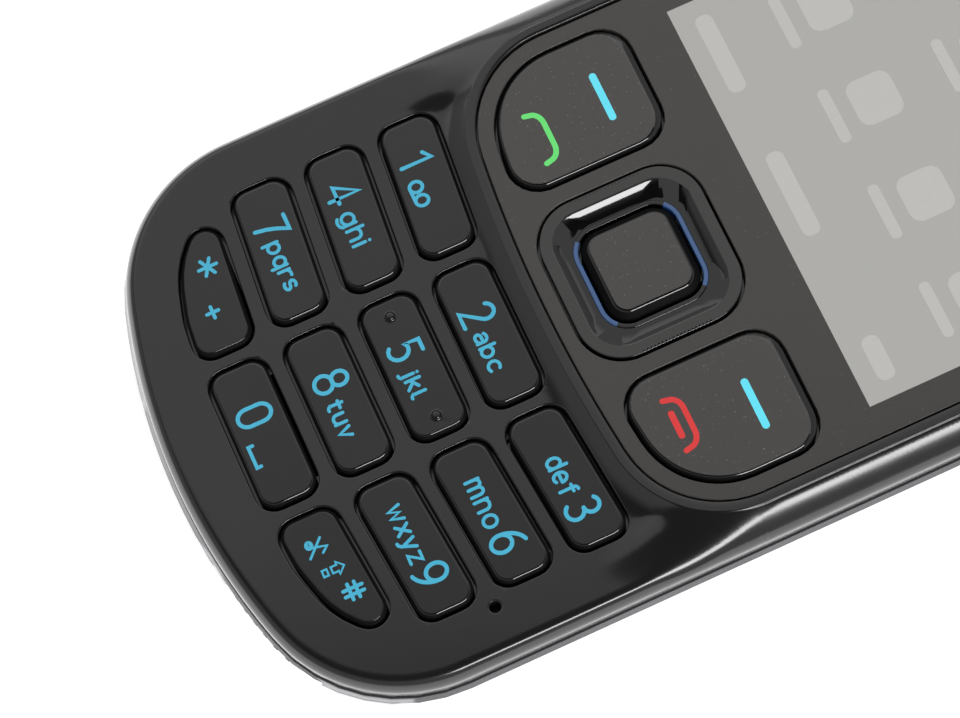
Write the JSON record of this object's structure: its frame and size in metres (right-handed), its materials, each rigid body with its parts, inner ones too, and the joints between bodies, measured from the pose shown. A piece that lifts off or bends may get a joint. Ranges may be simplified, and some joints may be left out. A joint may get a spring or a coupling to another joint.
{
  "type": "candybar phone",
  "caption": "Candybar mobile phone with separate number keys, rocker call keys, dished navigation key, screen window and lift-off battery cover.",
  "frame": {"origin": "middle of the back plane, with the phone lying on its back", "axes": "+X to the right seen from the front, +Y up the face towards the earpiece, +Z out of the face"},
  "size_m": [0.0462, 0.1092, 0.0117],
  "materials": {
    "satin_black": "satin painted",
    "fascia": "satin hard coat",
    "key_black": "semi-matte",
    "gloss_black": "polished",
    "inner_plastic": "moulded",
    "blue_light_guide": "clear tinted",
    "steel": "brushed",
    "rear_grey": "satin metallic",
    "dark_glass": "polished",
    "flash_glass": "fluted",
    "board_green": "solder mask",
    "screen_grey": "matte screen",
    "rubber_grey": "moulded",
    "brass_weight": "sintered",
    "antenna_gold": "plated",
    "battery_label": "wrapped in film",
    "card_white": "smooth"
  },
  "bodies": {
    "case": {"front_cover": "satin_black", "display_window": "fascia", "earpiece_grille": "steel", "rear_shell": "rear_grey", "camera_window": "dark_glass", "flash_window": "flash_glass", "loudspeaker_grille": "steel", "audio_socket": "gloss_black", "charger_socket": "gloss_black", "data_socket": "steel", "case_screws": "steel", "chassis": "steel", "main_board": "board_green", "radio_shield": "steel", "baseband_shield": "steel", "display_panel": "screen_grey", "display_frame": "steel", "display_gasket": "rubber_grey", "keypad_mat": "rubber_grey", "dome_sheet": "steel", "earpiece": "gloss_black", "loudspeaker": "gloss_black", "vibration_motor": "steel", "microphone": "steel", "microphone_boot": "rubber_grey", "camera_module": "gloss_black", "antenna": "antenna_gold", "battery": "battery_label", "battery_contacts": "antenna_gold", "sim_holder": "steel", "sim_card": "card_white"},
    "key_1": {"key_1": "key_black"},
    "key_2": {"key_2": "key_black"},
    "key_3": {"key_3": "key_black"},
    "key_4": {"key_4": "key_black"},
    "key_5": {"key_5": "key_black"},
    "key_6": {"key_6": "key_black"},
    "key_7": {"key_7": "key_black"},
    "key_8": {"key_8": "key_black"},
    "key_9": {"key_9": "key_black"},
    "key_star": {"key_star": "key_black"},
    "key_0": {"key_0": "key_black"},
    "key_hash": {"key_hash": "key_black"},
    "call_key": {"call_key": "key_black"},
    "end_key": {"end_key": "key_black"},
    "nav_rocker": {"nav_rocker": "inner_plastic"},
    "nav_ring": {"nav_ring": "gloss_black", "nav_halo": "blue_light_guide"},
    "select_key": {"select_key": "key_black"},
    "battery_cover": {"battery_cover": "rear_grey"},
    "cover_release": {"cover_release": "rear_grey"},
    "volume_key": {"volume_key": "key_black"},
    "power_key": {"power_key": "key_black"},
    "vibration_weight": {"vibration_weight": "brass_weight"}
  },
  "joints": [
    {"name": "key_1_press", "type": "slide", "parent": "case", "child": "key_1", "axis": [0, 0, -1], "range_m": [0, 0.0003], "stiffness_N_per_m": 1200},
    {"name": "key_2_press", "type": "slide", "parent": "case", "child": "key_2", "axis": [0, 0, -1], "range_m": [0, 0.0003], "stiffness_N_per_m": 1200},
    {"name": "key_3_press", "type": "slide", "parent": "case", "child": "key_3", "axis": [0, 0, -1], "range_m": [0, 0.0003], "stiffness_N_per_m": 1200},
    {"name": "key_4_press", "type": "slide", "parent": "case", "child": "key_4", "axis": [0, 0, -1], "range_m": [0, 0.0003], "stiffness_N_per_m": 1200},
    {"name": "key_5_press", "type": "slide", "parent": "case", "child": "key_5", "axis": [0, 0, -1], "range_m": [0, 0.0003], "stiffness_N_per_m": 1200},
    {"name": "key_6_press", "type": "slide", "parent": "case", "child": "key_6", "axis": [0, 0, -1], "range_m": [0, 0.0003], "stiffness_N_per_m": 1200},
    {"name": "key_7_press", "type": "slide", "parent": "case", "child": "key_7", "axis": [0, 0, -1], "range_m": [0, 0.0003], "stiffness_N_per_m": 1200},
    {"name": "key_8_press", "type": "slide", "parent": "case", "child": "key_8", "axis": [0, 0, -1], "range_m": [0, 0.0003], "stiffness_N_per_m": 1200},
    {"name": "key_9_press", "type": "slide", "parent": "case", "child": "key_9", "axis": [0, 0, -1], "range_m": [0, 0.0003], "stiffness_N_per_m": 1200},
    {"name": "key_star_press", "type": "slide", "parent": "case", "child": "key_star", "axis": [0, 0, -1], "range_m": [0, 0.0003], "stiffness_N_per_m": 1200},
    {"name": "key_0_press", "type": "slide", "parent": "case", "child": "key_0", "axis": [0, 0, -1], "range_m": [0, 0.0003], "stiffness_N_per_m": 1200},
    {"name": "key_hash_press", "type": "slide", "parent": "case", "child": "key_hash", "axis": [0, 0, -1], "range_m": [0, 0.0003], "stiffness_N_per_m": 1200},
    {"name": "call_key_rock", "type": "hinge", "parent": "case", "child": "call_key", "pos_m": [-0.013, -0.01648, 0.00995], "axis": [1, 0, 0], "range_deg": [-2, 2], "stiffness_Nm_per_rad": 0.2},
    {"name": "end_key_rock", "type": "hinge", "parent": "case", "child": "end_key", "pos_m": [0.013, -0.01648, 0.00995], "axis": [1, 0, 0], "range_deg": [-2, 2], "stiffness_Nm_per_rad": 0.2},
    {"name": "nav_tilt_up_down", "type": "hinge", "parent": "case", "child": "nav_rocker", "pos_m": [0, -0.01632, 0.0096], "axis": [1, 0, 0], "range_deg": [-1.5, 1.5], "stiffness_Nm_per_rad": 0.2},
    {"name": "nav_tilt_left_right", "type": "hinge", "parent": "nav_rocker", "child": "nav_ring", "pos_m": [0, -0.01632, 0.0096], "axis": [0, 1, 0], "range_deg": [-1.5, 1.5], "stiffness_Nm_per_rad": 0.2},
    {"name": "select_key_press", "type": "slide", "parent": "case", "child": "select_key", "axis": [0, 0, -1], "range_m": [0, 0.0003], "stiffness_N_per_m": 1200},
    {"name": "volume_rock", "type": "hinge", "parent": "case", "child": "volume_key", "pos_m": [0.0219, 0.02823, 0.004], "axis": [0, 0, 1], "range_deg": [-1.2, 1.2], "stiffness_Nm_per_rad": 0.2},
    {"name": "power_press", "type": "slide", "parent": "case", "child": "power_key", "axis": [0, -1, 0], "range_m": [0, 0.0004], "stiffness_N_per_m": 1200},
    {"name": "cover_release_slide", "type": "slide", "parent": "case", "child": "cover_release", "axis": [0, 1, 0], "range_m": [0, 0.0008], "stiffness_N_per_m": 800},
    {"name": "battery_cover_lift", "type": "hinge", "parent": "case", "child": "battery_cover", "pos_m": [0, 0.02223, 0.00005], "axis": [1, 0, 0], "range_deg": [0, 35]},
    {"name": "vibration_weight_spin", "type": "hinge", "parent": "case", "child": "vibration_weight", "pos_m": [0.0177, 0.03522, 0.00335], "axis": [0, 1, 0], "continuous": true}
  ]
}
